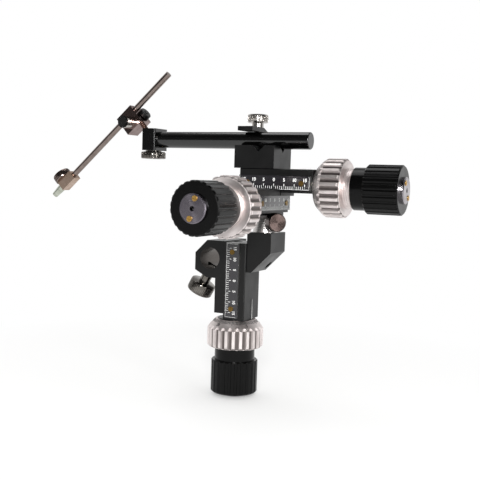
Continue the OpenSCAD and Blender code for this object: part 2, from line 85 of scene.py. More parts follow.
# The dial: a hundred divisions of 0.01 mm for a thread of 1 mm; DIAL_ZERO turns each to its place
DIAL_DIVISIONS = 100
DIAL_NUMERAL_STEP = 20
DIAL_ZERO = {"z": 36.5, "y": 120.0, "x": 60.0}
DIAL_SMALL_R = 9.4 * MM
DIAL_LARGE_R = 12.2 * MM
DIAL_START = 0.05 * MM
DIAL_END = 2.85 * MM
THREAD_PITCH = 1.0 * MM
THREAD_DEPTH = 0.3 * MM
THREAD_GROOVE = 0.4 * MM
DIAL_NUMERAL_SIZE = 1.9 * MM
DIAL_NUMERAL_AT = 0.74
DIAL_TICK_START = 0.25 * MM
# name, how many round the dial, length and width
DIAL_TICKS = (
    ("fine", DIAL_DIVISIONS, 1.6 * MM, 0.25 * MM),
    ("tenth", DIAL_DIVISIONS // 10, 2.2 * MM, 0.3 * MM),
)

# The sleeve's plain tube, below its thread
SLEEVE_TUBE_LEN = 7.4 * MM
SLEEVE_TUBE_R = 5.5 * MM
SLEEVE_BORE_R = 4.45 * MM

# The flutes of a fine ring's grip: how far below the ridges the painted shade in their bottoms reaches, and
# where it starts and stops
FLUTE_DARK_FROM = 0.2 * MM
FLUTE_DARK_TO = 0.8 * MM
FLUTE_START = DIAL_END + 1.5 * MM
FLUTE_STOP = 0.2 * MM

# The discs in the knobs' ends: the two colours each one is clouded with. The discs are the same metal, and
# the x disc is painted much lighter as a painted highlight
DISC_TONES_AS_LIT = {"z": ("#7f7a80", "#66616a"), "y": ("#837e84", "#66616a"), "x": ("#b5b1b3", "#98949a")}

# The scale plates
SCALE_REACH = 15
SCALE_STEP = 5
TICK_WIDE = 0.2 * MM
TICK_SHORT = 1.4 * MM
TICK_LONG = 2.4 * MM
BORDER_WIDE = 0.13 * MM
MARK_THICK = 0.04 * MM
# One white enamel on all three plates, painted duller on the y plate and brightest on the x plate as painted
# light and shade
MARK_TONES_AS_LIT = {"z": "#c9c9c7", "y": "#a7a9a6", "x": "#f0f0ee"}
NUMERAL_SIZE = 2.0 * MM
NUMERAL_UP = 1.35 * MM
NUMERAL_FATTEN = 0.03
PLATE_MARGIN = 0.4 * MM
LOWER_MARGIN = 0.45 * MM

# The index line on the wide face, and how far back from the dial it lies
INDEX_LONG = 9.4 * MM
INDEX_WIDE = 0.55 * MM
INDEX_AT = -5.1 * MM

# The clamp's bore, and the slopes of what is not square to the frame
STAND_BORE_R = 5 * MM
STAND_SCREW_SLOPE = math.radians(28)
SWIVEL_SCREW_TURN = math.radians(43.8)
HOLDER_SLOPE = math.radians(41.83)

# Thumbscrews and lock disc; pieces that are joined run into each other by OVERLAP
OVERLAP = 0.1 * MM
STAND_HEAD_R = 6.25 * MM
STAND_HEAD_HIGH = 5.5 * MM
STAND_HEAD_AT = 14.2 * MM
STAND_NECK_R = 2.5 * MM
STAND_NECK_FROM = 5.3 * MM
JAW_HEAD_R = 5 * MM
JAW_HEAD_HIGH = 4.2 * MM
JAW_COLLAR_R = 2.8 * MM
JAW_COLLAR_LONG = 3.1 * MM
JAW_THREAD_R = 1.5 * MM
DISC_HIGH = 3.5 * MM
DISC_COLLAR_R = 4 * MM
DISC_COLLAR_END = 4.05 * MM
DISC_THREAD_R = 2.75 * MM
TIP_SCREW_LONG = 5.2 * MM
TIP_HEAD_R = 4.75 * MM
TIP_HEAD_HIGH = 3.6 * MM
TIP_THREAD_R = 1 * MM
TIP_THREAD_FOOT = 0.65 * MM

# Small set screws, measured from the edges of what carries them
END_SCREW_R = 0.8 * MM
END_SCREW_IN = 2.6 * MM
END_SCREW_DOWN = 4.2 * MM
X_SCREW_R = 0.6 * MM
X_SCREW_IN = 5.9 * MM
X_SCREW_FRONT = 8.02 * MM
X_SCREW_HIGH = 36.2 * MM

# The lamps: name, place, size and power. All of them aim at the origin
LAMPS = (
    ("flash", (0.30, -0.62, 0.2), (0.14, 0.1), 5.0),
    ("window", (0.8, -0.4, 0.12), (0.14, 0.5), 1.7),
    ("top", (-0.1, 0.15, 0.8), (0.5, 0.5), 1.8),
)


# ---------------------------------------------------------------------------
# Materials
# ---------------------------------------------------------------------------


def colour(code):
    """A hex colour as a picture shows it, turned to linear values."""
    parts = [int(code[i : i + 2], 16) / 255 for i in (1, 3, 5)]
    return tuple(c / 12.92 if c <= 0.04045 else ((c + 0.055) / 1.055) ** 2.4 for c in parts) + (1,)


def add(tree, kind, inputs=None, **settings):
    """Adds one node; inputs are values, or outputs to link from."""
    made = tree.nodes.new(kind)
    for name, value in settings.items():
        setattr(made, name, value)
    for name, value in (inputs or {}).items():
        if isinstance(value, bpy.types.NodeSocket):
            tree.links.new(value, made.inputs[name])
        else:
            made.inputs[name].default_value = value
    return made


def calc(tree, operation, first, second):
    """A sum of two values."""
    return add(tree, "ShaderNodeMath", {0: first, 1: second}, operation=operation).outputs[0]


def vector(tree, operation, first, second):
    """A sum of two vectors, as its node."""
    return add(tree, "ShaderNodeVectorMath", {0: first, 1: second}, operation=operation)


def turned_over(tree, way, kind, source, target):
    """A direction taken from one space to another."""
    return add(
        tree, "ShaderNodeVectorTransform", {0: way}, vector_type=kind, convert_from=source, convert_to=target
    ).outputs[0]


def bumped(tree, strength, height, normal):
    """The normal with a pattern's hundredths of a millimetre of relief on it."""
    relief = {"Strength": strength, "Distance": 0.02 * MM, "Height": height, "Normal": normal}
    return add(tree, "ShaderNodeBump", relief).outputs[0]


def new_material(name):
    made = bpy.data.materials.new(name)
    made.use_nodes = True
    made.node_tree.nodes.clear()
    return made, made.node_tree


def close(tree, shader):
    """Links the finished shader to the material's output."""
    add(tree, "ShaderNodeOutputMaterial", {"Surface": shader})


def softened_edges(tree, radius=0.12):
    """The normal that a broken edge gives: every real machined edge is eased a little."""
    return add(tree, "ShaderNodeBevel", {"Radius": radius * MM}, samples=4).outputs["Normal"]


def edge_mask(tree, eased, strength):
    """1 on the edges, 0 on the flats, from how far the eased normal leans."""
    true = add(tree, "ShaderNodeNewGeometry").outputs["Normal"]
    same = vector(tree, "DOT_PRODUCT", eased, true)
    lean = calc(tree, "SUBTRACT", 1.0, same.outputs["Value"])
    mask = calc(tree, "MULTIPLY", lean, strength)
    return add(tree, "ShaderNodeClamp", {"Value": mask}).outputs[0]


def grain(tree, size, detail=3.0):
    """Fine noise whose grains are size millimetres across."""
    place = add(tree, "ShaderNodeTexCoord").outputs["Object"]
    return add(
        tree,
        "ShaderNodeTexNoise",
        {"Vector": place, "Scale": 1 / (size * MM), "Detail": detail, "Roughness": 0.6},
    ).outputs["Fac"]


def spread(tree, value, low, high):
    """Turns a 0 to 1 pattern into the range low to high."""
    ends = {"Value": value, "From Min": 0.3, "From Max": 0.7, "To Min": low, "To Max": high}
    return add(tree, "ShaderNodeMapRange", ends).outputs[0]


def blend(tree, factor, first, second):
    """A colour that goes from first to second as factor goes from 0 to 1."""
    ends = {"Factor": factor, "A": first, "B": second}
    return add(tree, "ShaderNodeMix", ends, data_type="RGBA").outputs["Result"]


def from_axis(tree, centre, axis):
    """How far along a turned piece's axis a point lies, and the vector out to it from the axis."""
    place = add(tree, "ShaderNodeTexCoord").outputs["Object"]
    away = vector(tree, "SUBTRACT", place, tuple(centre)).outputs[0]
    along = vector(tree, "DOT_PRODUCT", away, tuple(axis)).outputs["Value"]
    scaled = {0: tuple(axis), "Scale": along}
    on_axis = add(tree, "ShaderNodeVectorMath", scaled, operation="SCALE").outputs[0]
    across = vector(tree, "SUBTRACT", away, on_axis).outputs[0]
    return along, across


def turning_direction(tree, centre, axis):
    """The way the tool's scratches run: round the axis. It pulls highlights into radial streaks."""
    across = from_axis(tree, centre, axis)[1]
    round_it = vector(tree, "CROSS_PRODUCT", tuple(axis), across).outputs[0]
    even = add(tree, "ShaderNodeVectorMath", {0: round_it}, operation="NORMALIZE").outputs[0]
    return turned_over(tree, even, "VECTOR", "OBJECT", "WORLD")


def turning_marks(tree, centre, axis, pitch):
    """A pattern of fine rings about a turned piece's axis: along it on the side, outwards on the end."""
    along, across = from_axis(tree, centre, axis)
    radius = add(tree, "ShaderNodeVectorMath", {0: across}, operation="LENGTH").outputs["Value"]
    run = calc(tree, "ADD", along, radius)
    return add(
        tree,
        "ShaderNodeTexNoise",
        {"W": run, "Scale": 1 / (pitch * MM), "Detail": 2.0, "Roughness": 0.7},
        noise_dimensions="1D",
    ).outputs[0]


def black_anodised_aluminium(name, base="#050505", edge_wear_and_highlight="#5a5d5b", gloss=0.34, shine=0.35, bore=None):
    """Milled aluminium, bead blasted and dyed black: near black face on, a soft grey-green sheen
    at a glancing angle, a fine grain, and a hair of lighter grey-green along the sharpest edges,
    partly bare worn metal and partly a painted edge highlight."""
    made, tree = new_material(name)
    eased = softened_edges(tree)
    fine = grain(tree, 0.35)
    broad = grain(tree, 9.0, 1.0)
    bump = bumped(tree, 0.18, fine, eased)
    # the sharpest edges are painted lighter grey-green: partly wear, partly a painted edge highlight
    tone = blend(tree, edge_mask(tree, eased, 0.3), colour(base), colour(edge_wear_and_highlight))
    skin = add(
        tree,
        "ShaderNodeBsdfPrincipled",
        {
            "Base Color": tone,
            "Roughness": spread(tree, broad, gloss - 0.05, gloss + 0.07),
            "Specular IOR Level": shine,
            "Normal": bump,
        },
    )
    shader = skin.outputs[0]
    if bore:
        shader = bared_bore(tree, shader, bore)
    close(tree, shader)
    return made


def bared_bore(tree, skin, radius):
    """The clamp's bore is reamed after dyeing, so its wall is bare bright metal with rings."""
    place = add(tree, "ShaderNodeTexCoord").outputs["Object"]
    flat = vector(tree, "MULTIPLY", place, (1, 0, 1)).outputs[0]
    off = add(tree, "ShaderNodeVectorMath", {0: flat}, operation="LENGTH").outputs["Value"]
    inside = calc(tree, "LESS_THAN", off, radius + 0.06 * MM)
    marks = turning_marks(tree, (0, 0, 0), (0, 1, 0), 0.5)
    bump = add(tree, "ShaderNodeBump", {"Strength": 0.25, "Distance": 0.02 * MM, "Height": marks})
    bare = add(
        tree,
        "ShaderNodeBsdfPrincipled",
        {"Base Color": colour("#57524e"), "Metallic": 1.0, "Roughness": 0.26, "Normal": bump.outputs[0]},
    )
    return add(tree, "ShaderNodeMixShader", {0: inside, 1: skin, 2: bare.outputs[0]}).outputs[0]


def in_the_flutes(tree, centre, axis, radius, first, last):
    """The mask of the painted shade: 1 in the bottoms of a grip's flutes between first and last along the
    axis, 0 on its ridges.
    """
    along, across = from_axis(tree, centre, axis)
    reach = add(tree, "ShaderNodeVectorMath", {0: across}, operation="LENGTH").outputs["Value"]
    deep = add(
        tree,
        "ShaderNodeMapRange",
        {
            "Value": reach,
            "From Min": radius - FLUTE_DARK_TO,
            "From Max": radius - FLUTE_DARK_FROM,
            "To Min": 1.0,
            "To Max": 0.0,
        },
    ).outputs[0]
    past = calc(tree, "GREATER_THAN", along, first)
    short = calc(tree, "LESS_THAN", along, last)
    between = calc(tree, "MULTIPLY", past, short)
    return calc(tree, "MULTIPLY", deep, between)


def turned_metal(name, base, stain, roughness, centre, axis, strength=0.3, streak=0.6, flutes=None):
    """Metal left as the lathe left it: fine rings about the axis that draw the light into streaks,
    a slightly uneven colour, and eased edges that catch a bright line. Where flutes gives a
    grip's radius and ends, the bottoms of its flutes are painted darker as painted shade."""
    made, tree = new_material(name)
    eased = softened_edges(tree)
    marks = turning_marks(tree, centre, axis, 0.35)
    broad = grain(tree, 6.0, 2.0)
    bump = bumped(tree, strength, marks, eased)
    tone = blend(tree, spread(tree, broad, 0.0, 1.0), colour(base), colour(stain))
    if flutes:
        # painted shade: the bottoms of the flutes are painted darker
        tone = blend(tree, in_the_flutes(tree, centre, axis, *flutes), tone, colour("#6b6462"))
    skin = add(
        tree,
        "ShaderNodeBsdfPrincipled",
        {
            "Base Color": tone,
            "Metallic": 1.0,
            "Roughness": spread(tree, marks, roughness - 0.05, roughness + 0.06),
            "Anisotropic": streak,
            "Tangent": turning_direction(tree, centre, axis),
            "Normal": bump,
        },
    )
    close(tree, skin.outputs[0])
    return made


def plain_metal(name, base, stain, roughness, black_from=None):
    """Small drawn or plated metal: smooth, with faint clouding and eased edges. Where black_from
    gives a place and a way, what lies beyond it is dipped in black lacquer."""
    made, tree = new_material(name)
    eased = softened_edges(tree, 0.08)
    cloud = grain(tree, 3.0, 2.0)
    bump = bumped(tree, 0.04, cloud, eased)
    tone = blend(tree, spread(tree, cloud, 0.0, 1.0), colour(base), colour(stain))
    skin = add(
        tree,
        "ShaderNodeBsdfPrincipled",
        {
            "Base Color": tone,
            "Metallic": 1.0,
            "Roughness": spread(tree, cloud, roughness - 0.03, roughness + 0.03),
            "Normal": bump,
        },
    )
    shader = skin.outputs[0]
    if black_from:
        beyond = from_axis(tree, *black_from)[0]
        dipped = calc(tree, "GREATER_THAN", beyond, 0.0)
        coat = {"Base Color": colour("#050505"), "Roughness": 0.35, "Normal": eased}
        lacquer = add(tree, "ShaderNodeBsdfPrincipled", coat)
        shader = add(tree, "ShaderNodeMixShader", {0: dipped, 1: shader, 2: lacquer.outputs[0]}).outputs[0]
    close(tree, shader)
    return made


def scale_plate_finish(name, face):
    """A thin aluminium plate, dyed black on its face under a glossy lacquer, and sawn to size
    afterwards: the edges show bare bright metal as thin light lines."""
    made, tree = new_material(name)
    eased = softened_edges(tree, 0.06)
    true = add(tree, "ShaderNodeNewGeometry").outputs["True Normal"]
    own = turned_over(tree, true, "NORMAL", "WORLD", "OBJECT")
    turned = vector(tree, "DOT_PRODUCT", own, tuple(face)).outputs["Value"]
    edge = calc(tree, "LESS_THAN", turned, 0.5)
    fine = grain(tree, 0.5)
    lacquer = add(
        tree,
        "ShaderNodeBsdfPrincipled",
        {
            "Base Color": colour("#141217"),
            "Roughness": spread(tree, fine, 0.2, 0.28),
            "Specular IOR Level": 0.6,
            "Coat Weight": 0.55,
            "Coat Roughness": 0.12,
            "Normal": eased,
        },
    )
    bare = add(
        tree,
        "ShaderNodeBsdfPrincipled",
        {"Base Color": colour("#d2d2ce"), "Metallic": 1.0, "Roughness": 0.4, "Normal": eased},
    )
    both = add(tree, "ShaderNodeMixShader", {0: edge, 1: lacquer.outputs[0], 2: bare.outputs[0]})
    close(tree, both.outputs[0])
    return made


def engraving_enamel(name, base):
    """Enamel wiped into engraved marks: flat, matt and a little uneven."""
    made, tree = new_material(name)
    cloud = grain(tree, 0.4)
    tone = blend(tree, spread(tree, cloud, 0.0, 0.15), colour(base), colour("#8c8c8c"))
    skin = add(
        tree,
        "ShaderNodeBsdfPrincipled",
        {"Base Color": tone, "Roughness": 0.6, "Specular IOR Level": 0.3},
    )
    close(tree, skin.outputs[0])
    return made


def pale_floor():
    """A plain pale sweep: it takes the object's shadow near it, and fades to white further out."""
    made, tree = new_material("pale_floor")
    paper = add(tree, "ShaderNodeBsdfDiffuse", {"Color": colour("#f3f3f2")})
    white = add(tree, "ShaderNodeEmission", {"Color": (1, 1, 1, 1), "Strength": 1.0})
    place = add(tree, "ShaderNodeTexCoord").outputs["Object"]
    far = add(tree, "ShaderNodeVectorMath", {0: place}, operation="LENGTH").outputs["Value"]
    fade = add(
        tree,
        "ShaderNodeMapRange",
        {"Value": far, "From Min": 0.06, "From Max": FLOOR_SHADOW_REACH, "To Min": 0.25, "To Max": 1.0},
    ).outputs[0]
    seen = add(tree, "ShaderNodeLightPath")
    any_ray = seen.outputs["Is Camera Ray"]
    for kind in ("Is Glossy Ray", "Is Transmission Ray"):
        any_ray = calc(tree, "MAXIMUM", any_ray, seen.outputs[kind])
    share = calc(tree, "MULTIPLY", fade, any_ray)
    both = add(tree, "ShaderNodeMixShader", {0: share, 1: paper.outputs[0], 2: white.outputs[0]})
    close(tree, both.outputs[0])
    return made


# ---------------------------------------------------------------------------
# Modelling tools
# ---------------------------------------------------------------------------


def clear_selection():
    if bpy.context.object and bpy.context.object.mode != "OBJECT":
        bpy.ops.object.mode_set(mode="OBJECT")
    bpy.ops.object.select_all(action="DESELECT")


def start(kind, name, **settings):
    """Adds a primitive, alone selected and active."""
    clear_selection()
    getattr(bpy.ops.mesh, f"primitive_{kind}_add")(**settings)
    made = bpy.context.object
    made.name = name
    made.data.name = name
    return made


def apply_place(piece):
    """Puts the piece's place, turn and size into its mesh."""
    clear_selection()
    piece.select_set(True)
    bpy.context.view_layer.objects.active = piece
    bpy.ops.object.transform_apply(location=True, rotation=True, scale=True)
    return piece


def put(piece, matrix):
    piece.matrix_world = matrix @ piece.matrix_world
    return apply_place(piece)


def edit(piece):
    clear_selection()
    piece.select_set(True)
    bpy.context.view_layer.objects.active = piece
    bpy.ops.object.mode_set(mode="EDIT")


def choose(kind, test):
    """In edit mode, selects the faces or edges for which test is true."""
    bpy.ops.mesh.select_mode(type="FACE" if kind == "faces" else "EDGE")
    bpy.ops.mesh.select_all(action="DESELECT")
    held = bmesh.from_edit_mesh(bpy.context.object.data)
    for part in getattr(held, kind):
        part.select_set(bool(test(part)))
    held.select_flush_mode()
    bmesh.update_edit_mesh(bpy.context.object.data)


def done():
    bpy.ops.object.mode_set(mode="OBJECT")


def smooth(piece, angle=32):
    clear_selection()
    piece.select_set(True)
    bpy.context.view_layer.objects.active = piece
    bpy.ops.object.shade_smooth_by_angle(angle=math.radians(angle))
    return piece


def join(name, pieces):
    clear_selection()
    for piece in pieces:
        piece.select_set(True)
    bpy.context.view_layer.objects.active = pieces[0]
    bpy.ops.object.join()
    pieces[0].name = name
    pieces[0].data.name = name
    return pieces[0]


def dress(piece, material, body):
    """Gives the piece its material and the body it rides on."""
    piece.data.materials.clear()
    piece.data.materials.append(material)
    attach(piece, body)
    return piece


def frame_on(origin, z_axis, x_hint):
    """A matrix with its Z along z_axis and its X as near x_hint as that allows."""
    z = Vector(z_axis).normalized()
    y = z.cross(Vector(x_hint)).normalized()
    x = y.cross(z)
    made = Matrix((x, y, z)).transposed().to_4x4()
    made.translation = Vector(origin)
    return made


def centre_of(node):
    low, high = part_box(node)
    return (Vector(low) + Vector(high)) / 2


def size_of(node):
    low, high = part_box(node)
    return Vector(high) - Vector(low)


def unit_frame(unit):
    """A drive unit's own frame: Z runs to the knob from the dial's small end, X to the load."""
    out = UNITS[unit]["out"]
    ring = unit + "_fine_ring"
    length = abs(size_of(ring).dot(out))
    dial = centre_of(ring) - out * (length / 2 + DIAL_START)
    return frame_on(dial, out, UNITS[unit]["load"])


def thin_bar(name, x, y, wide, high, thick=MARK_THICK):
    """A painted line lying on z = 0, its edges broken so that it reads as wiped-in paint."""
    bar = start("cube", name, size=1, location=(x, y, thick / 2 - thick * 0.4))
    bar.scale = (wide, high, thick)
    apply_place(bar)
    edit(bar)
    choose("faces", lambda f: f.normal.z > 0.9)
    bpy.ops.mesh.inset(thickness=min(wide, high) * 0.12, depth=0)
    done()
    return bar


def repeat(piece, count, step):
    """Copies the piece in a row with an Array that is then applied."""
    row = piece.modifiers.new("row", "ARRAY")
    row.count = count
    row.use_relative_offset = False
    row.use_constant_offset = True
    row.constant_offset_displace = step
    clear_selection()
    piece.select_set(True)
    bpy.context.view_layer.objects.active = piece
    bpy.ops.object.modifier_apply(modifier="row")
    return piece


def numeral(words, size, matrix):
    """A number as a thin solid, centred on the matrix's origin."""
    clear_selection()
    bpy.ops.object.text_add()
    made = bpy.context.object
    made.data.body = words
    made.data.size = size
    made.data.align_x = "CENTER"
    made.data.align_y = "CENTER"
    made.data.extrude = MARK_THICK / 2
    made.data.offset = NUMERAL_FATTEN * size
    bpy.ops.object.convert(target="MESH")
    made = bpy.context.object
    return put(made, matrix)


# ---------------------------------------------------------------------------
# Scale plates, index lines and dials
# ---------------------------------------------------------------------------


def scale_marks(unit, enamel):
    """The ticks, numerals and border lines of one scale plate."""
    plate = unit + "_scale_plate"
    up = UNITS[unit]["load"]
    normal = UNITS[unit]["plate"]
    right = up.cross(normal)
    size = size_of(plate)
    long = abs(size.dot(right))
    wide = abs(size.dot(up))
    thick = abs(size.dot(normal))
    face = frame_on(centre_of(plate) + normal * thick / 2, normal, right)
    low = -wide / 2 + LOWER_MARGIN
    side = long / 2 - PLATE_MARGIN
    parts = [
        repeat(
            thin_bar("tick", -SCALE_REACH * MM, low + TICK_SHORT / 2, TICK_WIDE, TICK_SHORT),
            2 * SCALE_REACH + 1,
            (MM, 0, 0),
        ),
        repeat(
            thin_bar("long_tick", -SCALE_REACH * MM, low + TICK_LONG / 2, TICK_WIDE * 1.3, TICK_LONG),
            2 * SCALE_REACH // SCALE_STEP + 1,
            (SCALE_STEP * MM, 0, 0),
        ),
        thin_bar("lower_line", 0, low, 2 * side, BORDER_WIDE),
        thin_bar("left_line", -side, 0, BORDER_WIDE, wide - 0.7 * MM),
        thin_bar("right_line", side, 0, BORDER_WIDE, wide - 0.7 * MM),
    ]
    for value in range(-SCALE_REACH, SCALE_REACH + 1, SCALE_STEP):
        place = Matrix.Translation((value * MM, NUMERAL_UP, 0))
        parts.append(numeral(str(abs(value)), NUMERAL_SIZE, place))
    marks = put(join(unit + "_scale_marks", parts), face)
    return dress(marks, enamel, unit + "_slide")


def index_line(unit, enamel):
    """The white line on the wide face, which the dial is read against."""
    base = unit_frame(unit)
    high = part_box(unit + "_flange")[1]
    load = UNITS[unit]["load"]
    reach = (Vector(high) - base.translation).dot(load)
    line = thin_bar("line", 0, 0, INDEX_LONG, INDEX_WIDE)
    edit(line)
    choose("faces", lambda f: f.normal.x < -0.9)
    bpy.ops.transform.resize(value=(1, 0.35, 1))
    done()
    # its length lies along the unit's axis, from the flange's dial side
    turn = frame_on(base @ Vector((reach, 0, INDEX_AT)), load, UNITS[unit]["out"])
    put(line, turn)
    line.name = unit + "_index_line"
    return dress(line, enamel, unit + "_slide")


def dial_marks(unit, enamel):
    """The graduations and numerals engraved round the cone of a fine ring."""
    slope = Vector((DIAL_LARGE_R - DIAL_SMALL_R, 0, DIAL_END - DIAL_START))
    length = slope.length
    along = slope.normalized()
    normal = Vector((along.z, 0, -along.x))
    foot = Vector((DIAL_SMALL_R, 0, DIAL_START))

    def on_cone(distance):
        return frame_on(foot + along * distance, normal, along)

    rows = []
    for name, count, reach, wide in DIAL_TICKS:
        tick = put(thin_bar(name, 0, 0, reach, wide), on_cone(DIAL_TICK_START + reach / 2))
        edit(tick)
        bpy.ops.mesh.select_all(action="SELECT")
        bpy.ops.mesh.spin(
            dupli=True,
            steps=count - 1,
            angle=math.tau * (count - 1) / count,
            center=(0, 0, 0),
            axis=(0, 0, 1),
        )
        done()
        rows.append(tick)
    quarter = Matrix.Rotation(math.pi / 2, 4, "Z")
    for value in range(0, DIAL_DIVISIONS, DIAL_NUMERAL_STEP):
        angle = math.tau * value / DIAL_DIVISIONS
        place = Matrix.Rotation(angle, 4, "Z") @ on_cone(length * DIAL_NUMERAL_AT) @ quarter
        rows.append(numeral(str(value), DIAL_NUMERAL_SIZE, place))
    marks = join(unit + "_dial_marks", rows)
    turn = Matrix.Rotation(math.radians(DIAL_ZERO[unit]), 4, "Z")
    put(marks, unit_frame(unit) @ turn)
    return dress(marks, enamel, unit + "_ring")


# ---------------------------------------------------------------------------
# Turned pieces
# ---------------------------------------------------------------------------


def threaded_sleeve(unit, material):
    """The sleeve with its fine thread, flat crests and narrow grooves. The grooves are rings: at
    this pitch a thread's lean is about one degree, too little to see."""
    node = unit + "_sleeve"
    out = UNITS[unit]["out"]
    side = UNITS[unit]["load"]
    whole = abs(size_of(node).dot(out))
    radius = abs(size_of(node).dot(side)) / 2
    thread_len = whole - SLEEVE_TUBE_LEN
    middle = centre_of(node)
    top = middle + out * whole / 2
    piece = start("cylinder", node + "_thread", vertices=128, radius=radius, depth=thread_len)
    piece.location.z = -thread_len / 2
    apply_place(piece)
    roots = [-(i + 0.5) * THREAD_PITCH for i in range(int(thread_len / THREAD_PITCH))]
    edit(piece)
    for root in roots:
        for level in (root - THREAD_GROOVE / 2, root, root + THREAD_GROOVE / 2):
            bpy.ops.mesh.select_all(action="SELECT")
            bpy.ops.mesh.bisect(plane_co=(0, 0, level), plane_no=(0, 0, 1))
    choose("edges", lambda e: any(all(abs(v.co.z - root) < 1e-6 for v in e.verts) for root in roots))
    inward = 1 - THREAD_DEPTH / radius
    bpy.ops.transform.resize(value=(inward, inward, 1), center_override=(0, 0, 0))
    # the inner tube is drawn down from the lower end
    choose("faces", lambda f: f.normal.z < -0.9 and len(f.verts) > 8)
    bpy.ops.mesh.inset(thickness=radius - SLEEVE_TUBE_R, depth=0)
    bpy.ops.mesh.extrude_region_move(TRANSFORM_OT_translate={"value": (0, 0, -SLEEVE_TUBE_LEN)})
    bpy.ops.mesh.inset(thickness=SLEEVE_TUBE_R - SLEEVE_BORE_R, depth=0)
    choose("faces", lambda f: f.normal.z > 0.9 and len(f.verts) > 8)
    bpy.ops.mesh.inset(thickness=radius - SLEEVE_BORE_R, depth=0)
    choose("faces", lambda f: len(f.verts) > 8)
    bpy.ops.mesh.delete(type="FACE")
    choose("edges", lambda e: e.is_boundary)
    bpy.ops.mesh.bridge_edge_loops()
    bpy.ops.mesh.select_all(action="SELECT")
    bpy.ops.mesh.normals_make_consistent(inside=False)
    done()
    put(piece, frame_on(top, out, side))
    smooth(piece, 25)
    dress(piece, material, unit + "_sleeve")
    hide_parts(node)
    return piece


def knurled_head(name, radius, high, teeth, bevel=0.6 * MM, depth=0.34 * MM, dish=0.0):
    """A thumbscrew's head on z = 0 to high, with straight knurling round its side."""
    head = start("cylinder", name, vertices=2 * teeth, radius=radius, depth=high)
    head.location.z = high / 2
    apply_place(head)
    edit(head)

    def rim(e):
        heights = [v.co.z for v in e.verts]
        return heights[0] == heights[1] and abs(abs(heights[0] - high / 2) - high / 2) < 1e-6

    choose("edges", rim)
    bpy.ops.mesh.bevel(offset=bevel, segments=2, affect="EDGES")

    def groove(f):
        centre = f.calc_center_median()
        turn = math.atan2(centre.y, centre.x) / math.tau * 2 * teeth
        return abs(f.normal.z) < 0.1 and round(turn - 0.5) % 2 == 0

    choose("faces", groove)
    bpy.ops.mesh.inset(thickness=0.05 * MM, depth=-depth, use_individual=True)
    choose("faces", lambda f: f.normal.z > 0.9 and len(f.verts) > 8)
    bpy.ops.mesh.inset(thickness=radius * 0.22, depth=0)
    bpy.ops.mesh.inset(thickness=0.15 * MM, depth=-0.12 * MM - dish)
    done()
    return smooth(head, 28)


def shank(name, radius, low, high, sides=48):
    """A plain round shank with a chamfered tip."""
    made = start("cylinder", name, vertices=sides, radius=radius, depth=high - low)
    made.location.z = (high + low) / 2
    apply_place(made)
    edit(made)
    choose("edges", lambda e: all(abs(v.co.z - low) < 1e-6 for v in e.verts))
    bpy.ops.mesh.bevel(offset=0.25 * MM, segments=1, affect="EDGES")
    done()
    return smooth(made, 30)


def stand_thumbscrew(material):
    out = Vector((-math.sin(STAND_SCREW_SLOPE), 0, -math.cos(STAND_SCREW_SLOPE)))
    head = knurled_head("head", STAND_HEAD_R, STAND_HEAD_HIGH, 44, dish=0.2 * MM)
    head.location.z = STAND_HEAD_AT
    apply_place(head)
    neck = shank("neck", STAND_NECK_R, STAND_NECK_FROM, STAND_HEAD_AT + OVERLAP)
    piece = join("stand_thumbscrew_knurled", [head, neck])
    put(piece, frame_on((0, 0, 0), out, (0, 1, 0)))
    dress(piece, material, "stand_screw")
    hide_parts("stand_thumbscrew")


def jaw_thumbscrew(material):
    low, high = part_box("jaw_thumbscrew")
    x, y = centre_of("jaw_thumbscrew").xy
    tall = high[2] - low[2]
    under = tall - JAW_HEAD_HIGH
    head = knurled_head("head", JAW_HEAD_R, JAW_HEAD_HIGH, 36, bevel=0.8 * MM)
    head.location.z = under
    apply_place(head)
    collar = shank("collar", JAW_COLLAR_R, under - JAW_COLLAR_LONG, under + OVERLAP)
    thread = shank("thread", JAW_THREAD_R, 0, under - JAW_COLLAR_LONG + OVERLAP, 32)
    piece = join("jaw_thumbscrew_knurled", [head, collar, thread])
    put(piece, Matrix.Translation((x, y, low[2])))
    dress(piece, material, "jaw_screw")
    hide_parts("jaw_thumbscrew")


def lock_disc(material):
    low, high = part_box("ball_lock_disc")
    x, y = centre_of("ball_lock_disc").xy
    head = knurled_head("head", (high[0] - low[0]) / 2, DISC_HIGH, 44, bevel=0.5 * MM)
    head.rotation_euler.x = math.pi
    head.location.z = DISC_HIGH
    apply_place(head)
    collar = shank("collar", DISC_COLLAR_R, DISC_HIGH - OVERLAP, DISC_COLLAR_END)
    thread = shank("thread", DISC_THREAD_R, DISC_HIGH - OVERLAP, high[2] - low[2])
    piece = join("ball_lock_disc_knurled", [head, collar, thread])
    put(piece, Matrix.Translation((x, y, low[2])))
    dress(piece, material, "lock_disc")
    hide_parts("ball_lock_disc")


def tip_screw(material):
    """The knurled screw that grips the electrode; its axis is square to the holder rod."""
    under = TIP_SCREW_LONG - TIP_HEAD_HIGH
    head = knurled_head("head", TIP_HEAD_R, TIP_HEAD_HIGH, 34, bevel=0.5 * MM)
    head.location.z = under
    apply_place(head)
    thread = shank("thread", TIP_THREAD_R, 0, under + OVERLAP, 32)
    piece = join("tip_screw_knurled", [head, thread])
    put(piece, frame_on(tip_screw_foot(), holder_up(), (0, 1, 0)))
    dress(piece, material, "tip_knob")
    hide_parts("tip_screw")


def holder_up():
    """The way that is square to the holder rod, upwards."""
    return Vector((-math.sin(HOLDER_SLOPE), 0, math.cos(HOLDER_SLOPE)))


def tip_screw_foot():
    """Where the tip screw's thread ends, a little off the holder rod's axis."""
    for joint in frame["joints"]:
        if joint["name"] == "tip_screw_turn":
            return Vector(joint["pos_m"]) + holder_up() * TIP_THREAD_FOOT
    raise ValueError("the tip screw's joint is missing")


